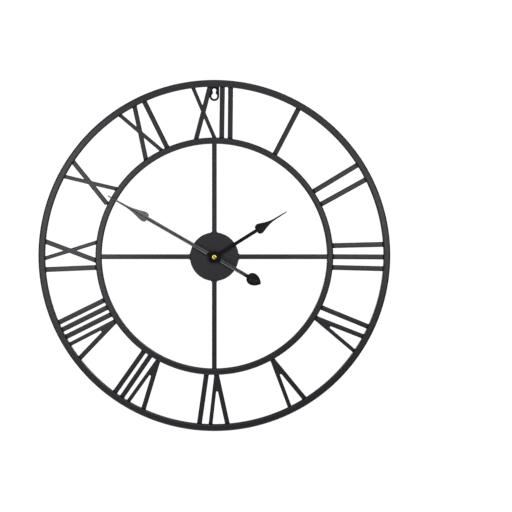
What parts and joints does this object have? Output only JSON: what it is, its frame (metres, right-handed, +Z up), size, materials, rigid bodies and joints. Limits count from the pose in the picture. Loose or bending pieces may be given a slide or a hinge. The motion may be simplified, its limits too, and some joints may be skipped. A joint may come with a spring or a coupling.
{
  "type": "wall clock",
  "caption": "Round open-frame metal wall clock: concentric rings joined by roman numerals, spokes to a centre plate, spade hands and a quartz movement behind.",
  "frame": {"origin": "on the wall plane, at the hands' axis: the middle of the flat back of the movement's cover", "axes": "+Z up to 12 o'clock, +X to the right towards 3 o'clock as seen from the front, +Y back into the wall; the dial faces -Y"},
  "size_m": [0.6, 0.0325, 0.6],
  "materials": {
    "powder_coat": "satin charcoal-black powder coat on steel, fine texture",
    "hanger_coat": "black painted steel sheet",
    "hand_coat": "semi-gloss black paint on stamped sheet",
    "brass": "polished turned brass",
    "rubber": "matte black rubber",
    "case_plastic": "fine-textured black moulded plastic",
    "wheel_plastic": "smooth natural acetal",
    "battery_sleeve": "plain glossy printed sleeve with bare steel ends, no marks",
    "plated_steel": "nickel-plated sheet steel",
    "circuit_board": "green solder mask with a black resin blob",
    "copper_wire": "enamelled copper winding",
    "magnet": "sintered magnet, dull grey"
  },
  "bodies": {
    "clock_frame": {"outer_ring": "powder_coat", "inner_ring": "powder_coat", "spoke_top": "powder_coat", "spoke_right": "powder_coat", "spoke_bottom": "powder_coat", "spoke_left": "powder_coat", "centre_plate": "powder_coat", "keyhole_hanger": "hanger_coat", "numeral_12_x": "powder_coat", "numeral_12_i1": "powder_coat", "numeral_12_i2": "powder_coat", "numeral_1_i": "powder_coat", "numeral_2_i1": "powder_coat", "numeral_2_i2": "powder_coat", "numeral_3_i1": "powder_coat", "numeral_3_i2": "powder_coat", "numeral_3_i3": "powder_coat", "numeral_4_i": "powder_coat", "numeral_4_v": "powder_coat", "numeral_5_v": "powder_coat", "numeral_6_v": "powder_coat", "numeral_6_i": "powder_coat", "numeral_7_v": "powder_coat", "numeral_7_i1": "powder_coat", "numeral_7_i2": "powder_coat", "numeral_8_v": "powder_coat", "numeral_8_i1": "powder_coat", "numeral_8_i2": "powder_coat", "numeral_8_i3": "powder_coat", "numeral_9_i": "powder_coat", "numeral_9_x": "powder_coat", "numeral_10_x": "powder_coat", "numeral_11_x": "powder_coat", "numeral_11_i": "powder_coat", "movement_case_front": "case_plastic", "movement_case_back": "case_plastic", "threaded_bush": "brass", "rubber_washer": "rubber", "brass_washer": "brass", "hex_nut": "brass", "train_plate": "case_plastic", "battery_contact_plus": "plated_steel", "battery_contact_minus": "plated_steel", "circuit_board": "circuit_board", "quartz_crystal": "plated_steel", "coil": "copper_wire", "stator": "plated_steel"},
    "minute_train": {"centre_wheel": "brass", "minute_hand": "hand_coat", "minute_nut": "brass"},
    "hour_train": {"hour_wheel": "wheel_plastic", "hour_hand_collet": "brass", "hour_hand": "hand_coat"},
    "setting_train": {"reverse_minute_wheel": "wheel_plastic", "setting_knob": "case_plastic"},
    "third_train": {"third_wheel": "wheel_plastic"},
    "second_train": {"second_wheel": "wheel_plastic"},
    "intermediate_train": {"intermediate_wheel": "wheel_plastic"},
    "motor_rotor": {"rotor": "magnet"},
    "battery_cell": {"battery": "battery_sleeve"}
  },
  "joints": [
    {"name": "minute_hand_turn", "type": "hinge", "parent": "clock_frame", "child": "minute_train", "pos_m": [0, 0, 0], "axis": [0, 1, 0], "continuous": true},
    {"name": "hour_hand_turn", "type": "hinge", "parent": "clock_frame", "child": "hour_train", "pos_m": [0, 0, 0], "axis": [0, 1, 0], "continuous": true},
    {"name": "setting_knob_turn", "type": "hinge", "parent": "clock_frame", "child": "setting_train", "pos_m": [0.0096, 0, 0], "axis": [0, 1, 0], "continuous": true},
    {"name": "third_wheel_turn", "type": "hinge", "parent": "clock_frame", "child": "third_train", "pos_m": [-0.0088, 0, 0], "axis": [0, 1, 0], "continuous": true},
    {"name": "second_wheel_turn", "type": "hinge", "parent": "clock_frame", "child": "second_train", "pos_m": [0, 0, 0], "axis": [0, 1, 0], "continuous": true},
    {"name": "intermediate_wheel_turn", "type": "hinge", "parent": "clock_frame", "child": "intermediate_train", "pos_m": [0, 0, 0.00903], "axis": [0, 1, 0], "continuous": true},
    {"name": "rotor_turn", "type": "hinge", "parent": "clock_frame", "child": "motor_rotor", "pos_m": [0.0027, 0, 0.01371], "axis": [0, 1, 0], "continuous": true},
    {"name": "battery_slide", "type": "slide", "parent": "clock_frame", "child": "battery_cell", "axis": [0, 1, 0], "range_m": [0, 0.025]}
  ],
  "couplings": [
    {"joint": "hour_hand_turn", "follows": "minute_hand_turn", "ratio": 0.083333},
    {"joint": "setting_knob_turn", "follows": "minute_hand_turn", "ratio": -0.33333},
    {"joint": "third_wheel_turn", "follows": "minute_hand_turn", "ratio": -8},
    {"joint": "second_wheel_turn", "follows": "minute_hand_turn", "ratio": 60},
    {"joint": "intermediate_wheel_turn", "follows": "minute_hand_turn", "ratio": -360},
    {"joint": "rotor_turn", "follows": "minute_hand_turn", "ratio": 1800}
  ]
}
